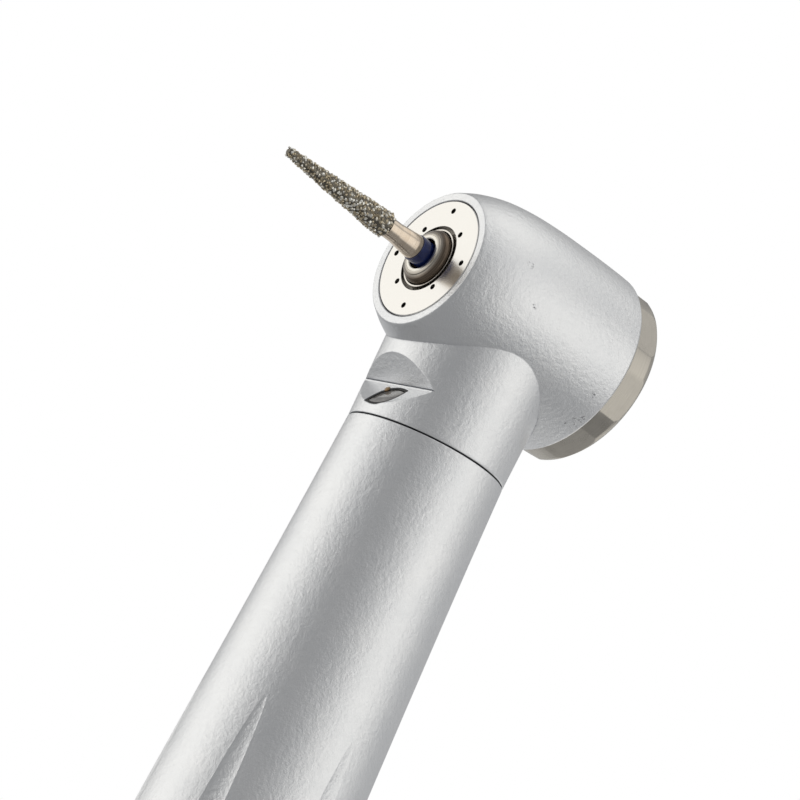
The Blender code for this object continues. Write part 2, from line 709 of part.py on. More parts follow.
def make_handpiece():
    body = frame_empty("body_axis", (0.0, 0.0, 0.0), math.pi / 2)
    neck = frame_empty("neck_axis", on_body(SEAM) * MM, math.pi / 2 - NECK_PITCH)
    up = Vector((-math.sin(HEAD_PITCH), 0.0, math.cos(HEAD_PITCH)))
    face_centre = on_body(HEAD_STATION) - up * NECK_ABOVE_FACE
    head = frame_empty("head_axis", face_centre * MM, -HEAD_PITCH)
    bottom = SEAM_RADIUS + 0.03 - NOTCH_DEPTH
    half_run = NOTCH_DEPTH / 2 / math.tan(FACET_SLOPE)
    facet_place = (bottom + NOTCH_DEPTH / 2, 0.0, NOTCH_STATION - SEAM - half_run)
    facet = frame_empty("lens_axis", Vector(facet_place) * MM, math.pi / 2 - FACET_SLOPE, neck)

    make_rear_connector(body)
    make_generator(body)
    make_handle_sleeve()
    make_tubes()
    make_head_shell(head, neck, facet)
    make_neck_o_ring(neck)
    make_light(facet)
    make_face(head)
    for which, low in (("front", FRONT_BEARING), ("rear", REAR_BEARING)):
        make_bearing(which, low, head)
    make_bearing_o_ring("front_o_ring", 2.25, head)
    make_bearing_o_ring("rear_o_ring", 9.25, head)
    make_spindle(head)
    make_impeller(head)
    make_chuck(head)
    make_bur(head)
    make_back_end(head)


clear_scene()
PARTS = new_collection("high_speed_handpiece")
CUTTERS = new_collection("cutters")
MATERIALS = {name: make_finish(name) for name in FINISHES}
make_handpiece()
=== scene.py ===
"""Looks of a high speed dental handpiece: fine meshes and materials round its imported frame.

Lengths are millimetres in the row frame, multiplied by MM where geometry is made. Turned pieces
are profiles of (radius, height) points, down their outer side, about the local Z of one frame:
BODY (Z forward along the handle), NECK (Z forward, from the seam) or HEAD (Z from face to cap).
A third number in a profile point rounds that corner. The light's glass is made in LENS, whose Z
points out of the glass.
"""

import math
import random

import bmesh
import bpy
import numpy as np
from mathutils import Matrix, Vector


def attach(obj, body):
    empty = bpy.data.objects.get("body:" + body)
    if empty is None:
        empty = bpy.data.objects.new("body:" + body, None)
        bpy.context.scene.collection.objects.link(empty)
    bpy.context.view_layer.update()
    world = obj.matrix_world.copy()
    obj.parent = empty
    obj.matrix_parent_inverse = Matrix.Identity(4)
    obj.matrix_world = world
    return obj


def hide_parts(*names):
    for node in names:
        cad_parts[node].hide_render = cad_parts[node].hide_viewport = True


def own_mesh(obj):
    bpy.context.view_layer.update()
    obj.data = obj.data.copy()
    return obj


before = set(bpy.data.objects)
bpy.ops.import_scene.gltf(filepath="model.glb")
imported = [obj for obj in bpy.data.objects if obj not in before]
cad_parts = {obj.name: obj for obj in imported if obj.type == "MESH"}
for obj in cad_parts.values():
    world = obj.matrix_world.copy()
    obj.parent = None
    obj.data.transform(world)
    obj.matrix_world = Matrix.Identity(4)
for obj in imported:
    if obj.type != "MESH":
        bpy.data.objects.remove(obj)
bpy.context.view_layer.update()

MM = 0.001

# Handle axis, as in the CAD
BEND_START = 58.0
BEND_END = 92.0
NECK_PITCH = math.radians(18.0)
BEND_RADIUS = (BEND_END - BEND_START) / NECK_PITCH
SEAM = 118.0
HEAD_STATION = 128.0
NECK_ABOVE_FACE = 6.2
HEAD_PITCH = math.radians(20.0)

# Handle sleeve
SLEEVE_REAR = 9.0
SLEEVE_FRONT = SEAM - 0.08
BELLY_STATION = 48.0
REAR_RADIUS = 6.75
BELLY_RADIUS = 7.9
SEAM_RADIUS = 5.25
SLEEVE_WALL = 1.4
FRONT_BORE = 4.4
FRONT_SEAT = 107.0
REAR_BORE = 5.75
REAR_SEAT = 15.0
FLUTES = 6
FLUTE_REAR = 45.0
FLUTE_FRONT = 99.3
FLUTE_HALF_WIDTH = 1.17
FLUTE_FLOOR = 0.27
FLUTE_TURN = math.radians(4.0)

# Light port
NOTCH_STATION = 120.6 - SEAM
NOTCH_DEPTH = 1.35
FACET_SLOPE = math.radians(35.0)
RAMP_SLOPE = math.radians(42.0)
LENS_TURN = math.radians(37.0)
GLUE_BEAD = (-1.0, -0.2, 0.0)

# Rings of spray holes in the face
OUTER_HOLES = 3.34
INNER_HOLES = 2.6
SPRAY_HOLE = 0.195

# Bur, and the cone of its diamond coat
DIAMOND_BASE = -3.9
BUR_TIP = -12.7
COAT_TOP = DIAMOND_BASE - 0.15
COAT_END = BUR_TIP + 0.15
COAT_TOP_RADIUS = 0.85
COAT_END_RADIUS = 0.31
GRAINS = 680

# Cap: its band, and the tool that cuts each wrench flat, deep, wide and high
CAP_RADIUS = 6.1
CAP_FLATS = 8
FIRST_FLAT = 12.0  # degrees
FLAT_HALF_ANGLE = math.radians(15.0)
FLAT_MIDDLE = 13.95
FLAT_TOOL = (1.0, 3.5, 2.7)

# Hose connector's thread and collar's knurl
THREAD_RADIUS = 5.6
THREAD_LOW = 0.75
THREAD_HIGH = 4.75
THREAD_RUN_OUT = 0.3
THREAD_PITCH = 0.7
THREAD_DEPTH = 0.32
KNURL_RADIUS = 6.8
KNURL_LOW = 7.25
KNURL_HIGH = 8.55
KNURL_RUN_OUT = 0.12
KNURL_TEETH = 44
KNURL_SLANT = 7.0
KNURL_DEPTH = 0.11


def on_body(s, y=0.0, z=0.0):
    """The point at station s of the handle axis, offset sideways and towards the button side."""
    turn = min(max((s - BEND_START) / BEND_RADIUS, 0.0), NECK_PITCH)
    straight = s if s < BEND_START else max(s - BEND_END, 0.0)
    start = 0.0 if s < BEND_START else BEND_START
    x = start + BEND_RADIUS * math.sin(turn) + straight * math.cos(turn)
    up = BEND_RADIUS * (1.0 - math.cos(turn)) + straight * math.sin(turn)
    return Vector((x - z * math.sin(turn), y, up + z * math.cos(turn)))


def axis_frame(origin, pitch):
    return Matrix.Translation(Vector(origin) * MM) @ Matrix.Rotation(pitch, 4, "Y")


HEAD_UP = Vector((-math.sin(HEAD_PITCH), 0.0, math.cos(HEAD_PITCH)))
FACE_CENTRE = on_body(HEAD_STATION) - HEAD_UP * NECK_ABOVE_FACE
NOTCH_BOTTOM = SEAM_RADIUS + 0.03 - NOTCH_DEPTH
ROW = Matrix.Identity(4)
BODY = axis_frame((0.0, 0.0, 0.0), math.pi / 2)
NECK = axis_frame(on_body(SEAM), math.pi / 2 - NECK_PITCH)
HEAD = axis_frame(FACE_CENTRE, -HEAD_PITCH)
FACET = NECK @ axis_frame(
    (NOTCH_BOTTOM + NOTCH_DEPTH / 2, 0.0, NOTCH_STATION - NOTCH_DEPTH / 2 / math.tan(FACET_SLOPE)),
    math.pi / 2 - FACET_SLOPE,
)
LENS = FACET @ Matrix.Translation((0.15 * MM, 0.3 * MM, 0.0)) @ Matrix.Rotation(LENS_TURN, 4, "Z")


# ---------------------------------------------------------------- camera, light and floor

CAMERA_RIGHT = Vector((0.2019, 0.5859, 0.7854)).normalized()
CAMERA_BACK = Vector((-0.0138, 0.8038, -0.5956)).normalized()
CAMERA_UP = CAMERA_BACK.cross(CAMERA_RIGHT).normalized()
CAMERA_DISTANCE = 0.40  # metres
CAMERA_LENS = 295.0
# Where the camera aims, from the middle of the face
AIM_RIGHT = -1.82
AIM_UP = -8.75
FLOOR_HEIGHT = -0.45  # metres

AMBIENT = 0.31
SOFTBOXES = (
    # direction right, up and towards the camera; full and outer angles in degrees; level
    ((-0.89, 0.41, -0.19), 10.0, 58.0, 1.22),
    ((-0.743, 0.549, -0.384), 14.0, 34.0, 1.16),
    ((0.705, -0.326, 0.629), 8.0, 30.0, 1.00),
    ((0.94, -0.10, 0.32), 18.0, 40.0, 1.12),
    ((0.56, 0.78, -0.26), 16.0, 42.0, 1.08),
    ((0.75, 0.55, 0.36), 10.0, 40.0, 0.75),
    ((0.785, -0.17, -0.596), 18.0, 52.0, 0.48),
    ((-0.295, -0.462, -0.845), 12.0, 32.0, 0.7),
    ((0.3, -0.75, -0.59), 14.0, 34.0, 1.0),
)
# The same for a flag, whose last number is the share of the light that it holds back
FLAG = ((-0.85, -0.36, -0.39), 18.0, 36.0, 0.42)
COOL = (0.985, 0.992, 1.0, 1.0)
WARM = (1.0, 0.988, 0.955, 1.0)
WHITE = (1.0, 1.0, 1.0, 1.0)


def studio_direction(right, up, back):
    return (CAMERA_RIGHT * right + CAMERA_UP * up + CAMERA_BACK * back).normalized()


class Nodes:
    """A short way to write a node tree: values and links are given when a node is made."""

    def __init__(self, tree):
        self.tree = tree

    def add(self, kind, inputs=None, output=0, **settings):
        made = self.tree.nodes.new(kind)
        for name, value in settings.items():
            setattr(made, name, value)
        for key, value in (inputs or {}).items():
            if isinstance(value, bpy.types.NodeSocket):
                self.tree.links.new(value, made.inputs[key])
            else:
                made.inputs[key].default_value = value
        return made.outputs[output] if made.outputs else None

    def math(self, operation, *values):
        return self.add("ShaderNodeMath", dict(enumerate(values)), operation=operation)

    def ramp(self, value, low, high, to_low=0.0, to_high=1.0):
        """A smooth step of a value from low to high."""
        inputs = {"Value": value, "From Min": low, "From Max": high}
        inputs |= {"To Min": to_low, "To Max": to_high}
        return self.add("ShaderNodeMapRange", inputs, interpolation_type="SMOOTHSTEP")

    def mix(self, factor, first, second):
        inputs = {0: factor, 6: first, 7: second}
        return self.add("ShaderNodeMix", inputs, output=2, data_type="RGBA")


def make_camera():
    data = bpy.data.cameras.new("camera")
    data.lens = CAMERA_LENS
    data.sensor_width = 36.0
    data.clip_start = 0.01
    data.clip_end = 20.0
    camera = bpy.data.objects.new("camera", data)
    aim = FACE_CENTRE * MM + CAMERA_RIGHT * AIM_RIGHT * MM + CAMERA_UP * AIM_UP * MM
    turn = Matrix((CAMERA_RIGHT, CAMERA_UP, CAMERA_BACK)).transposed().to_4x4()
    camera.matrix_world = Matrix.Translation(aim + CAMERA_BACK * CAMERA_DISTANCE) @ turn
    bpy.context.scene.collection.objects.link(camera)
    bpy.context.scene.camera = camera
    bpy.context.scene.view_settings.view_transform = "Standard"


def make_studio():
    """Large soft lights all round as a world, and a white backdrop where the camera looks past."""
    world = bpy.data.worlds.new("studio")
    bpy.context.scene.world = world
    world.use_nodes = True
    world.node_tree.nodes.clear()
    n = Nodes(world.node_tree)
    direction = n.add("ShaderNodeTexCoord")
    level = AMBIENT

    def patch(place, full, outer, outside, inside):
        """A round patch of the world, soft between its full and outer angles."""
        inputs = {0: direction, 1: studio_direction(*place)}
        towards = n.add("ShaderNodeVectorMath", inputs, output="Value", operation="DOT_PRODUCT")
        outer, full = math.cos(math.radians(outer)), math.cos(math.radians(full))
        return n.ramp(towards, outer, full, outside, inside)

    for place, full, outer, strength in SOFTBOXES:
        level = n.math("MAXIMUM", patch(place, full, outer, AMBIENT, strength), level)
    place, full, outer, held_back = FLAG
    level = n.math("MULTIPLY", patch(place, full, outer, 1.0, 1.0 - held_back), level)
    seen = n.add("ShaderNodeLightPath", output="Is Camera Ray")
    level = n.math("MAXIMUM", level, seen)
    colour = n.mix(n.ramp(level, 0.5, 1.15), COOL, WARM)
    colour = n.mix(seen, colour, WHITE)
    background = n.add("ShaderNodeBackground", {"Color": colour, "Strength": level})
    n.add("ShaderNodeOutputWorld", {"Surface": background})


def make_floor():
    bpy.ops.mesh.primitive_plane_add(size=12.0, location=(0.06, 0.0, FLOOR_HEIGHT))
    floor = bpy.context.object
    floor.name = "floor"
    made = bpy.data.materials.new("pale_floor")
    made.use_nodes = True
    shader = made.node_tree.nodes["Principled BSDF"]
    shader.inputs["Base Color"].default_value = (0.86, 0.86, 0.85, 1.0)
    shader.inputs["Roughness"].default_value = 0.9
    shader.inputs["Emission Color"].default_value = WHITE
    shader.inputs["Emission Strength"].default_value = 0.55
    floor.data.materials.append(made)
    floor.visible_diffuse = False
    floor.visible_glossy = False
    floor.visible_transmission = False
    floor.visible_shadow = False


# ---------------------------------------------------------------- materials


def new_material(name, colour, roughness, metallic):
    """A material with its node writer, its shader and its place in millimetres."""
    made = bpy.data.materials.new(name)
    made.use_nodes = True
    n = Nodes(made.node_tree)
    shader = made.node_tree.nodes["Principled BSDF"]
    shader.inputs["Base Color"].default_value = (*colour, 1.0)
    shader.inputs["Roughness"].default_value = roughness
    shader.inputs["Metallic"].default_value = metallic
    local = n.add("ShaderNodeTexCoord", output="Object")
    place = n.add("ShaderNodeVectorMath", {0: local, 3: 1.0 / MM}, operation="SCALE")
    return made, n, shader, place


def noise(n, place, size, detail=2.0, roughness=0.5, distortion=0.0):
    """A noise from 0 to 1 whose features are about size millimetres."""
    inputs = {"Vector": place, "Scale": 1.0 / size, "Detail": detail}
    inputs |= {"Roughness": roughness, "Distortion": distortion}
    return n.add("ShaderNodeTexNoise", inputs)


def stretch(n, place, factors):
    return n.add("ShaderNodeVectorMath", {0: place, 1: factors}, operation="MULTIPLY")


def radius_of(n, place):
    """Distance from the local Z axis."""
    flat = stretch(n, place, (1.0, 1.0, 0.0))
    return n.add("ShaderNodeVectorMath", {0: flat}, output="Value", operation="LENGTH")


def distance_from(n, place, centre):
    inputs = {0: place, 1: centre}
    return n.add("ShaderNodeVectorMath", inputs, output="Value", operation="DISTANCE")


def turning_marks(n, place, size):
    """Fine rings left by a lathe: noise that runs only along the radius and the height."""
    height = n.add("ShaderNodeSeparateXYZ", {0: place}, output="Z")
    rings = n.add("ShaderNodeCombineXYZ", {"X": radius_of(n, place), "Z": height})
    return noise(n, rings, size, 3.0, 0.6)


FINE_SURFACE = 0.004


def bump(n, shader, height, distance, strength, edges=0.0):
    """A raised surface, over edges that catch the light as if broken to the radius given."""
    inputs = {"Height": height, "Distance": distance * MM, "Strength": strength}
    if edges:
        inputs["Normal"] = n.add("ShaderNodeBevel", {"Radius": edges * MM}, samples=6)
    n.tree.links.new(n.add("ShaderNodeBump", inputs), shader.inputs["Normal"])


def join(n, shader, **sockets):
    for name, value in sockets.items():
        n.tree.links.new(value, shader.inputs[name.replace("_", " ")])


def spread(n, value, low, high):
    """A noise turned into a value from low to high."""
    inputs = {"Value": value, "From Min": 0.25, "From Max": 0.75, "To Min": low, "To Max": high}
    return n.add("ShaderNodeMapRange", inputs)


def tint(n, value, dark, light):
    return n.mix(spread(n, value, 0.0, 1.0), (*dark, 1.0), (*light, 1.0))


# Small pits of the head: a place on its side, in millimetres of its frame, and the cluster's size
PITS = (
    ((1.89, 5.50, 3.10), 0.30), ((-0.21, 6.05, 4.40), 0.22), ((-4.15, 4.80, 12.0), 0.55),
    ((-4.4, 4.55, 11.6), 0.35), ((-3.70, 5.15, 12.2), 0.28), ((-2.4, 5.9, 11.4), 0.30),
)


def painted_crease_shade(n, reach):
    """Mask of painted shade from ambient occlusion: 0 in an inside corner or a narrow gap, 1 on open
    surfaces; reach is in millimetres.
    """
    inputs = {"Distance": reach * MM}
    open_sky = n.add("ShaderNodeAmbientOcclusion", inputs, output="AO", samples=8)
    return n.ramp(open_sky, 0.58, 0.93)


def satin_metal(name, edges, pits=()):
    """Bead-blasted chrome: a grain, rippled flutes, painted shade in inside corners and gaps and, on
    the head, dark pits.
    """
    made, n, shader, place = new_material(name, (0.80, 0.805, 0.81), 0.36, 1.0)
    clouds = noise(n, place, 3.0)
    grain = noise(n, place, 0.34, 5.0, 0.72)
    flute = n.add("ShaderNodeAttribute", output="Fac", attribute_name="flute")
    ripple = n.math("SUBTRACT", noise(n, place, 0.45, 4.0, 0.65), 0.5)
    height = n.math("MULTIPLY_ADD", n.math("MULTIPLY", flute, ripple), 1.8, grain)
    colour = tint(n, clouds, (0.775, 0.785, 0.80), (0.815, 0.82, 0.83))
    crumbs = n.ramp(noise(n, place, 0.17, 2.0, 0.5, 0.6), 0.56, 0.64)
    pit = 0.0
    for centre, size in pits:
        off = distance_from(n, place, centre)
        pit = n.math("MAXIMUM", n.ramp(off, size, size * 0.5), pit)
    if pits:
        pit = n.math("MULTIPLY", pit, crumbs)
        height = n.math("SUBTRACT", height, n.math("MULTIPLY", pit, 1.5))
        colour = n.mix(n.math("MULTIPLY", pit, 0.75), colour, (0.25, 0.25, 0.27, 1.0))
    # Painted shade: inside corners and narrow gaps darkened to grey-blue
    colour = n.mix(painted_crease_shade(n, 0.2), (0.30, 0.31, 0.34, 1.0), colour)
    bump(n, shader, height, 0.06, 0.85, edges)
    join(n, shader, Base_Color=colour, Roughness=spread(n, grain, 0.32, 0.40))
    return made


def turned_metal(name, dark, light, roughness, marks=0.05, edges=0.0):
    """Metal from a lathe: rings in its colour, gloss and surface."""
    made, n, shader, place = new_material(name, light, roughness, 1.0)
    rings = turning_marks(n, place, marks)
    smear = noise(n, place, 0.8, 3.0)
    both = n.math("MULTIPLY_ADD", rings, 0.6, n.math("MULTIPLY", smear, 0.4))
    join(n, shader, Base_Color=tint(n, both, dark, light))
    join(n, shader, Roughness=spread(n, smear, roughness * 0.8, roughness * 1.25))
    bump(n, shader, rings, FINE_SURFACE, 0.6, edges)
    return made


def rotor_steel():
    """The spindle: turned steel whose nose goes from a dark outer band, partly heat tint and partly
    painted reflection of dark surroundings, to a cream inner ring.
    """
    made, n, shader, place = new_material("rotor_steel", (0.5, 0.46, 0.42), 0.24, 1.0)
    rings = turning_marks(n, place, 0.05)
    radius = radius_of(n, place)
    colour = tint(n, rings, (0.66, 0.63, 0.57), (0.80, 0.77, 0.71))
    middle = tint(n, rings, (0.34, 0.31, 0.27), (0.50, 0.46, 0.41))
    colour = n.mix(n.ramp(radius, 1.30, 1.36), colour, middle)
    # Outer band of the nose: heat tint and painted reflection of dark surroundings
    outside = tint(n, rings, (0.10, 0.075, 0.055), (0.22, 0.17, 0.13))
    colour = n.mix(n.ramp(radius, 1.44, 1.74), colour, outside)
    join(n, shader, Base_Color=colour, Roughness=spread(n, rings, 0.2, 0.32))
    bump(n, shader, rings, 0.006, 0.6)
    return made


def diamond_grit():
    """Grains of several colours, each with glassy flat faces, in dull nickel painted near black as
    shade in the gaps between grains.
    """
    made, n, shader, place = new_material("diamond_grit", (0.25, 0.23, 0.18), 0.3, 0.8)
    grain = n.add("ShaderNodeAttribute", output="Fac", attribute_name="grain")
    dusty = noise(n, place, 0.14, 3.0, 0.6)
    # The coat between grains: dull nickel, darkened as painted shade in the gaps
    nickel = tint(n, dusty, (0.05, 0.045, 0.04), (0.22, 0.20, 0.16))
    olive = tint(n, dusty, (0.32, 0.26, 0.17), (0.66, 0.58, 0.43))
    pale = tint(n, dusty, (0.80, 0.77, 0.68), (0.98, 0.97, 0.92))
    colour = n.mix(n.ramp(grain, 0.70, 0.86), olive, pale)
    colour = n.mix(n.ramp(grain, 0.30, 0.34), nickel, colour)
    join(n, shader, Base_Color=colour, Roughness=n.ramp(grain, 0.3, 0.8, 0.34, 0.10))
    bump(n, shader, dusty, 0.014, 0.5)
    return made


def plain_material(name, dark, light, size, roughness, metallic=0.0, **fixed):
    """Paint, rubber, resin, winding or magnet: two tones, an uneven gloss and a fine surface."""
    made, n, shader, place = new_material(name, light, roughness, metallic)
    tone = noise(n, place, size, 3.0, 0.6)
    fine = noise(n, place, size * 0.2, 2.0)
    join(n, shader, Base_Color=tint(n, tone, dark, light))
    join(n, shader, Roughness=spread(n, tone, roughness * 0.85, min(roughness * 1.15, 1.0)))
    bump(n, shader, fine, FINE_SURFACE, 0.5)
    for key, value in fixed.items():
        shader.inputs[key.replace("_", " ")].default_value = value
    return made


def dark_glass():
    """The lens: dark glass, and amber where its bead of glue lies."""
    made, n, shader, place = new_material("dark_glass", (0.05, 0.05, 0.055), 0.12, 0.0)
    spots = noise(n, place, 0.35, 2.0)
    colour = tint(n, spots, (0.17, 0.16, 0.155), (0.34, 0.325, 0.31))
    glue = n.ramp(distance_from(n, place, GLUE_BEAD), 0.36, 0.24)
    colour = n.mix(glue, colour, tint(n, spots, (0.05, 0.03, 0.015), (0.50, 0.30, 0.12)))
    join(n, shader, Base_Color=colour, Roughness=spread(n, spots, 0.10, 0.20))
    shader.inputs["Coat Weight"].default_value = 0.4
    shader.inputs["Coat Roughness"].default_value = 0.05
    bump(n, shader, spots, 0.02, 0.4)
    return made


def make_finishes():
    return {
        "satin_metal": satin_metal("satin_metal", 0.03),
        "satin_head": satin_metal("satin_head", 0.09, PITS),
        "face_metal": turned_metal(
            "face_metal", (0.765, 0.745, 0.71), (0.80, 0.785, 0.755), 0.20, 0.09
        ),
        "cap_metal": turned_metal(
            "cap_metal", (0.43, 0.405, 0.36), (0.53, 0.50, 0.45), 0.30, 0.12, edges=0.1
        ),
        "bright_steel": turned_metal("bright_steel", (0.62, 0.58, 0.53), (0.78, 0.75, 0.70), 0.17),
        "warm_steel": turned_metal("warm_steel", (0.54, 0.43, 0.32), (0.86, 0.76, 0.64), 0.15),
        "rotor_steel": rotor_steel(),
        "spring_steel": turned_metal(
            "spring_steel", (0.42, 0.41, 0.39), (0.56, 0.55, 0.53), 0.3, 0.2
        ),
        "brass": turned_metal("brass", (0.66, 0.47, 0.20), (0.80, 0.62, 0.32), 0.28, 0.1),
        "copper": plain_material(
            "copper", (0.60, 0.26, 0.12), (0.78, 0.40, 0.22), 0.3, 0.35, 1.0
        ),
        "magnet": plain_material("magnet", (0.15, 0.15, 0.17), (0.26, 0.26, 0.28), 0.2, 0.38, 1.0),
        "diamond_grit": diamond_grit(),
        "blue_band": plain_material(
            "blue_band", (0.004, 0.010, 0.07), (0.012, 0.03, 0.16), 0.5, 0.32, Coat_Weight=0.5
        ),
        "cage_resin": plain_material(
            "cage_resin", (0.26, 0.15, 0.06), (0.42, 0.27, 0.13), 0.15, 0.5
        ),
        "black_rubber": plain_material(
            "black_rubber", (0.012, 0.012, 0.012), (0.035, 0.034, 0.033), 0.3, 0.6
        ),
        "dark_glass": dark_glass(),
        "led_phosphor": plain_material(
            "led_phosphor", (0.75, 0.62, 0.14), (0.90, 0.80, 0.26), 0.1, 0.4
        ),
        "circuit_board": plain_material(
            "circuit_board", (0.02, 0.13, 0.05), (0.05, 0.24, 0.11), 0.4, 0.45
        ),
        "wire_jacket": plain_material(
            "wire_jacket", (0.45, 0.04, 0.03), (0.62, 0.08, 0.06), 0.8, 0.45
        ),
        "clear_tube": plain_material(
            "clear_tube", (0.68, 0.71, 0.73), (0.80, 0.83, 0.85), 1.2, 0.3, Transmission_Weight=0.4
        ),
    }


# ---------------------------------------------------------------- mesh helpers


def new_mesh(name, points, faces, sharp):
    """A mesh from points in millimetres, smooth but for edges turned by more than sharp degrees."""
    mesh = bpy.data.meshes.new(name)
    mesh.from_pydata([tuple(c * MM for c in p) for p in points], [], faces)
    smooth(mesh, sharp)
    return mesh


def smooth(mesh, sharp):
    mesh.shade_smooth()
    mesh.set_sharp_from_angle(angle=math.radians(sharp))


def filleted(profile, steps=5):
    """The profile with each corner that carries a third number rounded to that radius."""
    points = []
    count = len(profile)
    for k, corner in enumerate(profile):
        here = Vector(corner[:2])
        if len(corner) < 3:
            points.append(here)
            continue
        back = Vector(profile[k - 1][:2]) - here
        ahead = Vector(profile[(k + 1) % count][:2]) - here
        half = back.angle(ahead) / 2
        reach = min(corner[2] / math.tan(half), 0.45 * back.length, 0.45 * ahead.length)
        start = here + back.normalized() * reach
        end = here + ahead.normalized() * reach
        points.append(here + back.normalized() * min(reach * 1.4, 0.49 * back.length))
        for i in range(steps + 1):
            t = i / steps
            points.append(start * (1 - t) ** 2 + here * 2 * t * (1 - t) + end * t**2)
        points.append(here + ahead.normalized() * min(reach * 1.4, 0.49 * ahead.length))
    return [(p.x, p.y) for p in points]


def spline(points, steps=6):
    """Points of a smooth curve through the given ones, Catmull-Rom with its ends carried on."""
    knots = [Vector(p) for p in points]
    knots = [knots[0] * 2 - knots[1], *knots, knots[-1] * 2 - knots[-2]]
    made = []
    for a, b, c, d in zip(knots, knots[1:], knots[2:], knots[3:]):
        for i in range(steps):
            t = i / steps
            made.append(
                0.5 * (2 * b + (c - a) * t + (2 * a - 5 * b + 4 * c - d) * t**2
                       + (3 * b - a - 3 * c + d) * t**3)
            )
    return [(p.x, p.y) for p in (*made, knots[-2])]


def turned(name, profile, sides=160, sharp=30.0, shift=None):
    """A profile turned about local Z. shift(angle, radius, height) may change the radius."""
    turns = [2 * math.pi * k / sides for k in range(sides)]
    points, rows = [], []
    for r, z in profile:
        if r < 1e-9:
            rows.append([len(points)] * sides)
            points.append((0.0, 0.0, z))
            continue
        rows.append(list(range(len(points), len(points) + sides)))
        for turn in turns:
            reach = r + shift(turn, r, z) if shift else r
            points.append((reach * math.cos(turn), reach * math.sin(turn), z))
    pairs = list(zip(rows, rows[1:]))
    if profile[0][0] > 0.0:
        pairs.append((rows[-1], rows[0]))
    faces = []
    for near, far in pairs:
        for k in range(sides):
            m = (k + 1) % sides
            faces.append(tuple(dict.fromkeys((near[k], far[k], far[m], near[m]))))
    return new_mesh(name, points, faces, sharp)


def show(name, mesh, place):
    made = bpy.data.objects.new(name, mesh)
    made.matrix_world = place
    bpy.context.scene.collection.objects.link(made)
    return made


def add_piece(name, mesh, place, body, finish, *stands_for):
    """A piece of the object, with its finish, its body and the CAD nodes that it stands for."""
    made = mesh if isinstance(mesh, bpy.types.Object) else show(name, mesh, place)
    made.data.materials.clear()
    made.data.materials.append(FINISHES[finish])
    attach(made, body)
    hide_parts(*stands_for)
    return made


def combine(target, tool, operation="DIFFERENCE"):
    """Cuts the tool from the target, or joins it, and removes the tool."""
    modifier = target.modifiers.new(tool.name, "BOOLEAN")
    modifier.operation = operation
    modifier.object = tool
    bpy.context.view_layer.update()
    graph = bpy.context.evaluated_depsgraph_get()
    target.data = bpy.data.meshes.new_from_object(target.evaluated_get(graph))
    target.modifiers.clear()
    bpy.data.objects.remove(tool)


def holes(name, ends, place, sides=32):
    """A tool of straight round holes, each given by the two ends of its axis and a radius."""
    mesh = bpy.data.meshes.new(name)
    shape = bmesh.new()
    for start, end, radius in ends:
        along = Vector(end) - Vector(start)
        turn = along.to_track_quat("Z", "Y").to_matrix().to_4x4()
        middle = (Vector(start) + Vector(end)) * 0.5 * MM
        bmesh.ops.create_cone(
            shape, cap_ends=True, segments=sides, radius1=radius * MM, radius2=radius * MM,
            depth=along.length * MM, matrix=Matrix.Translation(middle) @ turn,
        )
    shape.to_mesh(mesh)
    shape.free()
    return show(name, mesh, place)


EYE_SIDES = 96


def eye_stack(name, layers):
    """A solid of eye-shaped sections, pointed on Y: half sizes and height, from the top down."""
    turns = [2 * math.pi * k / EYE_SIDES for k in range(EYE_SIDES)]
    points = [
        (x * math.cos(t) * abs(math.cos(t)), y * math.sin(t), z)
        for x, y, z in layers for t in turns
    ]
    last = len(points) - EYE_SIDES
    faces = [tuple(range(EYE_SIDES))]
    for near in range(0, last, EYE_SIDES):
        far = near + EYE_SIDES
        for k in range(EYE_SIDES):
            m = (k + 1) % EYE_SIDES
            faces.append((near + k, far + k, far + m, near + m))
    faces.append(tuple(range(len(points) - 1, last - 1, -1)))
    return new_mesh(name, points, faces, 30.0)


# ---------------------------------------------------------------- handle


def handle_radius(s):
    """A belly at BELLY_STATION that eases down to the seam and, less, to the rear."""
    if s < BELLY_STATION:
        back = (BELLY_STATION - s) / (BELLY_STATION - SLEEVE_REAR)
        return BELLY_RADIUS - (BELLY_RADIUS - REAR_RADIUS) * back**2
    t = (SEAM - s) / (SEAM - BELLY_STATION)
    share = 0.9 * (t**3 - 2 * t**2 + t) + 3 * t**2 - 2 * t**3
    return SEAM_RADIUS + (BELLY_RADIUS - SEAM_RADIUS) * share


def flute_swell(s):
    """How deep the flutes are at a station, from 0 at their points to 1."""
    if not FLUTE_REAR < s < FLUTE_FRONT:
        return 0.0
    return math.sin(math.pi * (FLUTE_FRONT - s) / (FLUTE_FRONT - FLUTE_REAR))


def handle_columns(s, across=16):
    """Angles round the handle, each with its place across a flute: -1 and 1 at its edges."""
    half = max(FLUTE_HALF_WIDTH * math.sqrt(flute_swell(s)), 0.06) / handle_radius(s)
    pitch = 2 * math.pi / FLUTES
    columns = []
    for k in range(FLUTES):
        centre = (k + 0.5) * pitch + FLUTE_TURN
        for i in range(across):
            offset = -1 + 2 * i / across
            columns.append((centre + half * offset, offset))
        for i in range(across):
            columns.append((centre + half + (pitch - 2 * half) * i / across, 1.0))
    return columns


def sleeve_bore(s):
    """The bore's radius: a wall of even thickness, with a plain seat at each end."""
    if s > FRONT_SEAT:
        return FRONT_BORE
    if s < REAR_SEAT:
        return REAR_BORE
    return handle_radius(s) - SLEEVE_WALL


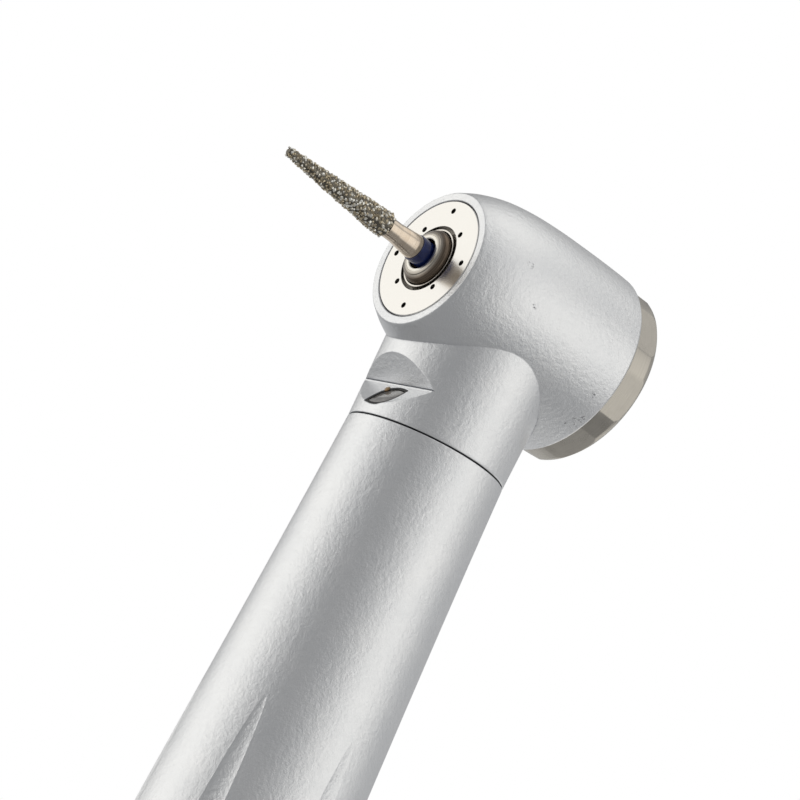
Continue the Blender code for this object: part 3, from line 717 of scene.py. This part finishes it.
def make_handle():
    """The sleeve, with flutes that end in points and chamfered ends, and its plain bore."""
    fine_tips = [FLUTE_REAR + 0.15 * k for k in range(20)]
    fine_tips += [FLUTE_FRONT - 0.15 * k for k in range(20)]
    stations = set(fine_tips) | {FLUTE_REAR + 3.0 + 0.6 * k for k in range(82)}
    stations |= {SLEEVE_REAR + 0.3 + 1.2 * k for k in range(30)}
    stations |= {FLUTE_FRONT + 0.5 + 0.8 * k for k in range(22)}
    rings = [(SLEEVE_REAR, -0.16), (SLEEVE_REAR + 0.05, -0.06), (SLEEVE_REAR + 0.16, 0.0)]
    rings += [(s, 0.0) for s in sorted(stations) if SLEEVE_REAR + 0.3 <= s < SLEEVE_FRONT - 0.2]
    rings += [(SLEEVE_FRONT - 0.10, 0.0), (SLEEVE_FRONT - 0.05, 0.0)]
    rings += [(SLEEVE_FRONT - 0.015, -0.015), (SLEEVE_FRONT, -0.05)]
    inside = [SLEEVE_FRONT, 108.0, 106.0, 92.0, 85.0, 78.0, 71.0, 64.0, 58.0, 40.0, 16.0, 14.0]
    points, masks, sections = [], [], 0
    for s, change in rings:
        depth = FLUTE_FLOOR * flute_swell(s) ** 0.7
        for angle, across in handle_columns(s):
            r = handle_radius(s) + change - depth * (1.0 - across**2)
            points.append(on_body(s, r * math.sin(angle), -r * math.cos(angle)))
            masks.append(1.0 - across**2 if depth > 0.0 else 0.0)
        sections += 1
    for s in (*inside, SLEEVE_REAR):
        bore = sleeve_bore(s)
        for angle, _ in handle_columns(s):
            points.append(on_body(s, bore * math.sin(angle), -bore * math.cos(angle)))
            masks.append(0.0)
        sections += 1
    sides = len(points) // sections
    faces = []
    for j in range(sections):
        near, far = j * sides, (j + 1) % sections * sides
        for k in range(sides):
            m = (k + 1) % sides
            faces.append((near + k, near + m, far + m, far + k))
    mesh = new_mesh("handle_grip", points, faces, 12.0)
    mask = mesh.attributes.new("flute", "FLOAT", "POINT")
    mask.data.foreach_set("value", masks)
    add_piece("handle_grip", mesh, ROW, "handpiece", "satin_metal", "handle_sleeve")


# ---------------------------------------------------------------- head and neck

HEAD_SIDE = spline([
    (6.35, 11.9), (6.345, 10.5), (6.32, 9.0), (6.24, 6.6), (6.05, 4.4), (5.72, 2.6), (5.2, 1.1),
    (4.68, 0.09),
])


def wedge(name):
    """The tool of the light port: its facet, a narrow ledge, a fine slit and its ramp."""
    outside = SEAM_RADIUS + 1.2
    rise = outside - NOTCH_BOTTOM
    ledge_reach = 0.12
    ledge = NOTCH_BOTTOM + ledge_reach * math.tan(FACET_SLOPE)
    outline = [
        (ledge, NOTCH_STATION - ledge_reach),
        (outside, NOTCH_STATION - rise / math.tan(FACET_SLOPE)),
        (outside, NOTCH_STATION + rise / math.tan(RAMP_SLOPE)),
        (NOTCH_BOTTOM + 0.03, NOTCH_STATION + 0.035),
        (NOTCH_BOTTOM - 0.06, NOTCH_STATION),
        (ledge, NOTCH_STATION - 0.03),
    ]
    points = [(x, y, z) for y in (-6.0, 6.0) for x, z in outline]
    count = len(outline)
    faces = [tuple(range(count)), tuple(range(2 * count - 1, count - 1, -1))]
    for k in range(count):
        m = (k + 1) % count
        faces.append((k, k + count, m + count, m))
    return show(name, new_mesh(name, points, faces, 10.0), NECK)


def make_head():
    """The head joined to its neck, then bored, notched and pocketed for the light."""
    shoulder = filleted([(5.0, 12.75), (6.22, 12.75, 0.02), (6.33, 12.6, 0.05), (6.35, 11.9)])
    rim = filleted([(4.68, 0.09), (4.6, 0.0, 0.03), (4.0, 0.0)])
    outline = [(0.0, 12.75), *shoulder[1:-1], *HEAD_SIDE, *rim[1:-1], (0.0, 0.0)]
    head = show("head_and_neck", turned("head", outline, 200), HEAD)
    neck_side = [(SEAM_RADIUS + 0.02 * z, z) for z in [7.5 - 0.3 * k for k in range(25)]]
    neck_profile = [(0.0, 7.5), *neck_side, (5.252, 0.08), (5.235, 0.03), (5.2, 0.0), (4.3, 0.0)]
    neck_profile += [(4.3, -3.1), (3.8, -3.1), (3.8, -4.0), (4.3, -4.0), (4.3, -6.2), (4.1, -6.5)]
    neck_profile += [(0.0, -6.5)]
    neck = show("neck", turned("neck", neck_profile, 180), NECK)
    combine(head, neck, "UNION")
    bore = [
        (0.0, 13.5), (4.9, 13.5), (4.9, 3.95), (3.25, 3.95), (3.25, 3.15), (3.95, 3.15),
        (3.95, 2.25), (3.25, 2.25), (3.25, 1.42), (2.85, 1.42), (2.85, 1.03), (4.08, 1.03),
        (4.08, 0.09), (4.14, 0.0), (4.2, -0.09), (4.2, -1.0), (0.0, -1.0),
    ]
    combine(head, show("head_bore", turned("head_bore", bore, 192), HEAD))
    neck_bore = [(0.0, 2.6), (3.4, 2.6), (3.4, -7.5), (0.0, -7.5)]
    combine(head, show("neck_bore", turned("neck_bore", neck_bore, 96), NECK))
    combine(head, wedge("light_notch"))
    pocket = [(1.02, 1.48, 1.5), (1.02, 1.48, -2.6)]
    combine(head, show("lens_pocket", eye_stack("lens_pocket", pocket), LENS))
    smooth(head.data, 20.0)
    add_piece("head_and_neck", head, HEAD, "handpiece", "satin_head", "head_shell")


def make_lens():
    """The glass and its rubber rim, and a bead of amber glue that has run out beside them."""
    glass = [(0.74, 1.12, -0.05), (0.79, 1.19, -0.07), (0.82, 1.23, -0.12), (0.82, 1.23, -1.7)]
    lens = show("port_lens", eye_stack("port_lens", glass), LENS)
    bead = bmesh.new()
    bead.from_mesh(lens.data)
    place = Matrix.Translation(Vector(GLUE_BEAD) * MM) @ Matrix.Diagonal((1.3, 1.0, 0.5, 1.0))
    bmesh.ops.create_icosphere(bead, subdivisions=3, radius=0.2 * MM, matrix=place)
    bead.to_mesh(lens.data)
    bead.free()
    smooth(lens.data, 30.0)
    add_piece("port_lens", lens, LENS, "handpiece", "dark_glass", "light_lens")
    rim = [(0.98, 1.42, -0.02), (1.0, 1.45, -0.05), (1.0, 1.45, -1.6)]
    seal = show("lens_gasket", eye_stack("lens_gasket", rim), LENS)
    bore = eye_stack("gasket_bore", [(0.83, 1.24, 1.0), (0.83, 1.24, -2.5)])
    combine(seal, show("gasket_bore", bore, LENS))
    smooth(seal.data, 30.0)
    add_piece("lens_gasket", seal, LENS, "handpiece", "black_rubber", "lens_seal")


# ---------------------------------------------------------------- face and rotor


def make_spray_face():
    """The face plate with its two rings of four holes, and the ring round the rotor's nose."""
    profile = filleted([
        (2.26, 1.0), (2.4, 1.0), (2.4, 0.5), (3.8, 0.5), (3.8, 1.0), (4.05, 1.0),
        (4.05, 0.09), (4.0, 0.0), (2.26, 0.0, 0.04),
    ])
    plate = show("spray_face", turned("spray_face", profile, 200), HEAD)
    drilled = []
    for k in range(4):
        for radius, turn in ((OUTER_HOLES, 0.0), (INNER_HOLES, 45.0)):
            angle = math.radians(90.0 * k + turn)
            x, y = radius * math.cos(angle), radius * math.sin(angle)
            drilled.append(((x, y, -0.3), (x, y, 0.8), SPRAY_HOLE))
    combine(plate, holes("spray_holes", drilled, HEAD))
    smooth(plate.data, 25.0)
    add_piece("spray_face", plate, HEAD, "handpiece", "face_metal", "face_plate")
    dust = filleted([
        (1.92, 1.38), (2.8, 1.38), (2.8, 1.08), (2.03, 1.08), (2.03, -0.02, 0.02),
        (1.92, -0.02, 0.02),
    ])
    add_piece("nose_guard_ring", turned("nose_guard_ring", dust), HEAD, "handpiece",
              "bright_steel", "dust_ring")


def make_spindle():
    """The rotor shaft, whose nose steps in through two fine grooves to its opening."""
    nose = spline([(1.85, -0.08), (1.81, -0.25), (1.70, -0.40), (1.52, -0.52)], 4)
    groove = [(1.495, -0.50), (1.47, -0.545)]
    middle = spline([(1.46, -0.56), (1.38, -0.595), (1.31, -0.61)], 3)
    inner = [(1.30, -0.575), (1.275, -0.61), (1.19, -0.62), (1.11, -0.61), (1.06, -0.57)]
    profile = [(1.25, 11.4), (1.5875, 11.4), (1.5875, 1.42), (1.85, 1.42), *nose, *groove]
    profile += [*middle, *inner, (1.05, -0.5), (1.05, 0.5), (1.25, 0.5)]
    add_piece("spindle_and_nose", turned("spindle_and_nose", profile, 128, 24.0), HEAD, "rotor",
              "rotor_steel", "spindle")


# ---------------------------------------------------------------- bur


def make_bur():
    """The steel blank, whose tip the diamond hides, and its coloured band."""
    blank = filleted([
        (0.0, 8.0), (0.7, 8.0), (0.8, 7.85), (0.8, -1.6, 0.3), (0.66, -3.0, 0.3),
        (0.66, DIAMOND_BASE - 0.03), (0.6, DIAMOND_BASE - 0.1), (0.16, BUR_TIP + 0.4),
        (0.0, BUR_TIP + 0.4),
    ])
    add_piece("bur_blank", turned("bur_blank", blank, 96), HEAD, "bur", "warm_steel", "bur_shank")
    band = filleted([
        (0.81, -0.1), (0.87, -0.1, 0.03), (0.87, -1.3, 0.03), (0.81, -1.3),
    ])
    add_piece("bur_code_band", turned("bur_code_band", band, 96), HEAD, "bur", "blue_band",
              "bur_ring")


def coat_radius(z):
    """The diamond coat's mean radius: a cone from its base to its tip."""
    share = (COAT_TOP - z) / (COAT_TOP - COAT_END)
    return COAT_TOP_RADIUS + (COAT_END_RADIUS - COAT_TOP_RADIUS) * min(max(share, 0.0), 1.0)


def make_diamond():
    """A nickel coat on the blank, with sharp grains of many sizes sunk half into it."""
    rng = random.Random(7)
    shape = bmesh.new()
    coat = [(0.0, DIAMOND_BASE), (0.74, DIAMOND_BASE), (0.80, COAT_TOP)]
    coat += [(coat_radius(z) - 0.04, z) for z in np.linspace(DIAMOND_BASE - 0.2, BUR_TIP + 0.2, 40)]
    coat += [(0.18, BUR_TIP + 0.06), (0.0, BUR_TIP + 0.04)]
    shape.from_mesh(turned("coat", coat, 48))
    layer = shape.verts.layers.float.new("grain")
    for vert in shape.verts:
        vert[layer] = 0.0
    golden_angle = math.pi * (3 - math.sqrt(5))
    taper = COAT_END_RADIUS / COAT_TOP_RADIUS
    low, high = BUR_TIP + 0.08, DIAMOND_BASE - 0.08
    for k in range(GRAINS):
        # Equal areas of a cone: more grains round its wide end than its tip
        share = 1.0 - math.sqrt(1.0 - (1.0 - taper**2) * (k + 0.5) / GRAINS)
        z = high - (high - low) * share / (1.0 - taper)
        angle = golden_angle * k + rng.uniform(-0.25, 0.25)
        size = rng.uniform(0.095, 0.165) * (0.62 + 0.45 * coat_radius(z))
        reach = coat_radius(z) - 0.62 * size + rng.uniform(-0.01, 0.02)
        z += rng.uniform(-0.05, 0.05)
        spot = Vector((reach * math.cos(angle), reach * math.sin(angle), z))
        turn = Matrix.Rotation(rng.uniform(0, 6.28), 4, "X")
        turn = turn @ Matrix.Rotation(rng.uniform(0, 6.28), 4, "Z")
        stretch_by = Matrix.Diagonal((rng.uniform(0.8, 1.3), rng.uniform(0.8, 1.1), 1.0, 1.0))
        made = bmesh.ops.create_icosphere(
            shape, subdivisions=1, radius=size * MM,
            matrix=Matrix.Translation(spot * MM) @ turn @ stretch_by,
        )
        tone = rng.uniform(0.35, 1.0)
        for vert in made["verts"]:
            vert.co = spot * MM + (vert.co - spot * MM) * rng.uniform(0.75, 1.15)
            vert[layer] = tone
    mesh = bpy.data.meshes.new("bur_diamond_coat")
    shape.to_mesh(mesh)
    shape.free()
    mesh.shade_flat()
    add_piece("bur_diamond_coat", mesh, HEAD, "bur", "diamond_grit", "bur_diamond")


# ---------------------------------------------------------------- cap and button


def make_cap():
    """The screw cap, whose round band is cut by wrench flats."""
    profile = filleted([
        (4.0, 14.95, 0.06), (5.2, 14.95, 0.3), (5.75, 14.75, 0.4), (6.03, 14.45, 0.2),
        (CAP_RADIUS, 14.2), (CAP_RADIUS, 12.85), (6.04, 12.8), (4.85, 12.8), (4.85, 11.5), (4.4, 11.5),
        (4.4, 13.2), (4.0, 13.2),
    ])
    cap = show("screw_cap", turned("screw_cap", profile, 240), HEAD)
    apothem = CAP_RADIUS * math.cos(FLAT_HALF_ANGLE)
    deep, wide, high = FLAT_TOOL
    mesh = bpy.data.meshes.new("flats")
    shape = bmesh.new()
    for k in range(CAP_FLATS):
        turn = Matrix.Rotation(math.radians(FIRST_FLAT + 360.0 / CAP_FLATS * k), 4, "Z")
        move = Matrix.Translation(((apothem + deep / 2) * MM, 0.0, FLAT_MIDDLE * MM))
        size = Matrix.Diagonal((deep * MM, wide * MM, high * MM, 1.0))
        bmesh.ops.create_cube(shape, size=1.0, matrix=turn @ move @ size)
    shape.to_mesh(mesh)
    shape.free()
    combine(cap, show("flats", mesh, HEAD))
    smooth(cap.data, 14.0)
    add_piece("screw_cap", cap, HEAD, "handpiece", "cap_metal", "back_cap")


def make_button():
    """The push button, dished on top, with the stem that presses the drawbar."""
    dish = [(0.0, 15.10), (0.9, 15.11), (1.7, 15.16), (2.3, 15.26), (2.6, 15.33)]
    top = spline(dish, 5) + [(2.7, 15.34), (2.78, 15.30), (2.86, 15.30), (2.94, 15.33)]
    side = [(3.3, 15.24, 0.3), (3.9, 14.9, 0.25), (3.9, 12.95), (4.3, 12.95), (4.3, 12.35)]
    side += [(3.4, 12.35), (3.4, 14.3), (0.7, 14.3), (0.7, 11.35), (0.0, 11.35)]
    profile = top + filleted([top[-1], *side])[1:]
    add_piece("push_button_cap", turned("push_button_cap", profile, 160), HEAD, "button",
              "cap_metal", "push_button")


def coil(name, radius, low, high, turns, wire, steps=24, sides=10):
    """A helical wire round the Z axis, from height low to high, closed at both ends."""
    points, count = [], turns * steps
    for k in range(count + 1):
        turn = 2 * math.pi * k / steps
        height = low + (high - low) * k / count
        for i in range(sides):
            around = 2 * math.pi * i / sides
            r = radius + wire * math.cos(around)
            z = height + wire * math.sin(around)
            points.append((r * math.cos(turn), r * math.sin(turn), z))
    faces = []
    for near in range(0, count * sides, sides):
        far = near + sides
        for i in range(sides):
            m = (i + 1) % sides
            faces.append((near + i, near + m, far + m, far + i))
    faces.append(tuple(range(sides - 1, -1, -1)))
    faces.append(tuple(range(count * sides, (count + 1) * sides)))
    return new_mesh(name, points, faces, 40.0)


def make_spring(name, node, body, radius, low, high, turns, wire):
    """A coil of spring steel on its body, with a mesh of its own."""
    mesh = coil(name, radius, low, high, turns, wire)
    made = add_piece(name, mesh, HEAD, body, "spring_steel", node)
    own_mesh(made)


def make_springs():
    make_spring(
        "button_coil", "button_spring", "handpiece",
        radius=2.9, low=11.68, high=14.07, turns=4, wire=0.17,
    )
    make_spring(
        "drawbar_coil", "chuck_spring", "rotor",
        radius=0.95, low=8.45, high=10.45, turns=5, wire=0.1,
    )


# ---------------------------------------------------------------- rear end


def band_fade(height, low, high, run_out):
    """1 within a band of heights, falling to 0 at its ends over the run-out."""
    return min((height - low) / run_out, (high - height) / run_out, 1.0)


def thread(angle, radius, height):
    """The change of radius that cuts the thread into the outside of the stub."""
    if not THREAD_LOW < height < THREAD_HIGH or radius < 5.5:
        return 0.0
    fade = band_fade(height, THREAD_LOW, THREAD_HIGH, THREAD_RUN_OUT)
    wave = (height / THREAD_PITCH + angle / (2 * math.pi)) % 1.0
    return -THREAD_DEPTH * fade * (1.0 - abs(2.0 * wave - 1.0))


def knurl(angle, radius, height):
    """The change of radius that cuts two crossing sets of grooves into the collar's outside."""
    if not KNURL_LOW < height < KNURL_HIGH or radius < 6.5:
        return 0.0
    fade = band_fade(height, KNURL_LOW, KNURL_HIGH, KNURL_RUN_OUT)
    one = abs(((angle * KNURL_TEETH + height * KNURL_SLANT) / math.pi) % 2.0 - 1.0)
    two = abs(((angle * KNURL_TEETH - height * KNURL_SLANT) / math.pi) % 2.0 - 1.0)
    return -KNURL_DEPTH * fade * max(one, two) ** 2


def make_connector():
    """The hose connector: a threaded stub with the four bores of its connection."""
    front = [(5.45, 13.0, 0.05), (5.65, 12.8, 0.05), (5.65, 12.0, 0.04), (5.15, 12.0, 0.04)]
    front += [(5.15, 11.0, 0.04), (5.65, 11.0, 0.04), (5.65, 6.4, 0.05), (5.2, 6.0), (5.2, 5.4)]
    front += [(THREAD_RADIUS, 5.0, 0.1)]
    threaded = [(THREAD_RADIUS, 4.8 - 0.07 * k) for k in range(59)]
    rear = filleted([(THREAD_RADIUS, 0.67), (5.55, 0.45, 0.05), (5.0, 0.0, 0.08), (0.0, 0.0)])[1:]
    profile = filleted([(0.0, 13.0), *front, (THREAD_RADIUS, 4.9)]) + threaded + rear
    connector = show("hose_connector", turned("hose_connector", profile, 160, 28.0, thread), BODY)
    ends = ((2.3, 0.0, 1.5), (-2.3, 0.0, 1.2), (0.0, -2.7, 0.8), (0.0, 2.7, 0.8))
    bores = [((x, y, -1.0), (x, y, 14.0), radius) for x, y, radius in ends]
    combine(connector, holes("hose_holes", bores, BODY, 48))
    smooth(connector.data, 28.0)
    add_piece("hose_connector", connector, BODY, "handpiece", "bright_steel", "rear_connector")


def make_collar():
    collar = filleted([
        (5.7, 8.95), (6.75, 8.95, 0.05), (KNURL_RADIUS, 8.7, 0.05), (KNURL_RADIUS, 8.6),
    ])
    collar += [(KNURL_RADIUS, KNURL_HIGH - 0.05 * k) for k in range(27)]
    collar += filleted([
        (KNURL_RADIUS, 7.2), (KNURL_RADIUS, 7.1, 0.05), (6.55, 6.7, 0.05), (5.7, 6.7),
    ])
    add_piece("knurled_collar", turned("knurled_collar", collar, 528, 30.0, knurl), BODY,
              "handpiece", "bright_steel", "rear_collar")


def make_connector_seal():
    """A rubber ring of flattened section in the connector's groove."""
    ring = [
        (5.46 + 0.24 * math.cos(math.pi * k / 12), 11.5 + 0.4 * math.sin(math.pi * k / 12))
        for k in range(12, -12, -1)
    ]
    add_piece("connector_seal", turned("connector_seal", ring, 128), BODY, "handpiece",
              "black_rubber", "connector_o_ring")


# ---------------------------------------------------------------- carried-over CAD nodes

CARRIED = {
    "rotor_steel": ("collet",),
    "bright_steel": (
        "front_bearing_outer_ring", "rear_bearing_outer_ring", "front_bearing_inner_ring",
        "rear_bearing_inner_ring", "drive_air_tube", "drive_inlet_pipe",
    ),
    "black_rubber": ("front_o_ring", "rear_o_ring", "neck_o_ring"),
    "spring_steel": ("spring_washer", "chuck_retaining_ring", "chuck_drawbar"),
    "cap_metal": ("rear_bearing_holder",),
    "brass": (
        "impeller", "generator_housing", "generator_end_cap", "generator_rear_bush",
        "generator_front_bush",
    ),
    "copper": ("generator_stator",),
    "magnet": ("generator_rotor",),
    "cage_resin": ("front_bearing_cage", "rear_bearing_cage"),
    "led_phosphor": ("led_emitter",),
    "circuit_board": ("led_board",),
    "wire_jacket": ("led_wire_left", "led_wire_right"),
    "clear_tube": ("water_tube", "chip_air_tube"),
}


def dress_inner_nodes():
    """Gives each CAD node that stays in the visible model its finish."""
    for finish, names in CARRIED.items():
        for name in names:
            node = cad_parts[name]
            node.data.materials.clear()
            node.data.materials.append(FINISHES[finish])


make_camera()
make_studio()
make_floor()
FINISHES = make_finishes()
make_handle()
make_head()
make_lens()
make_spray_face()
make_spindle()
make_bur()
make_diamond()
make_cap()
make_springs()
make_button()
make_connector()
make_collar()
make_connector_seal()
dress_inner_nodes()

bpy.context.view_layer.update()
